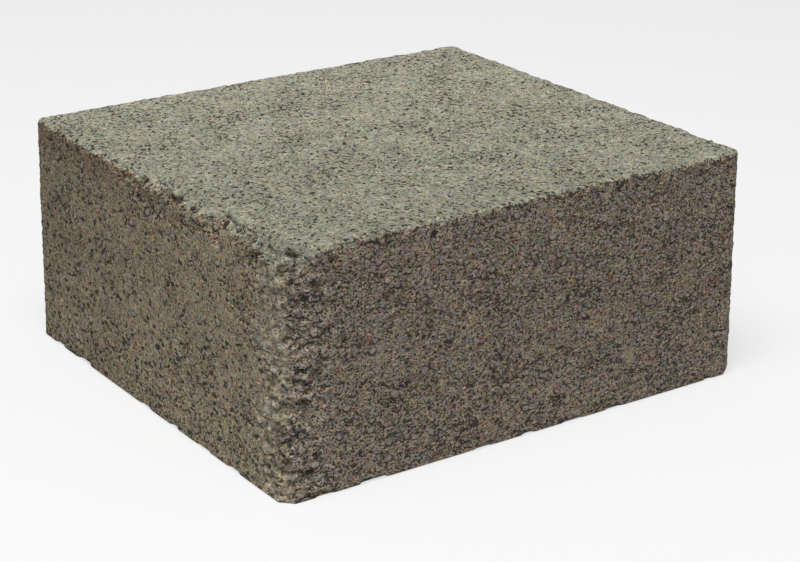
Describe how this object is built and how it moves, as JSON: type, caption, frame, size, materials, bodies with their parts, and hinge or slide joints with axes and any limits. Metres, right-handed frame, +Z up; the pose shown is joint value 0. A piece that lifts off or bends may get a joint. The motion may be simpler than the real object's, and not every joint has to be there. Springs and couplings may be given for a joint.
{
  "type": "concrete deck pier block",
  "caption": "Solid rectangular concrete block that stands on the ground under a deck post or beam and spreads its load.",
  "frame": {"origin": "middle of the base, on the surface that the block stands on", "axes": "+Z up; +X along the longer side of the footprint; the front wall, the right-hand one in the picture, faces -Y"},
  "size_m": [0.305, 0.279, 0.134],
  "materials": {
    "concrete": "matt, open-textured dry-cast concrete"
  },
  "bodies": {
    "root": {"pier_block": "concrete"}
  },
  "joints": []
}
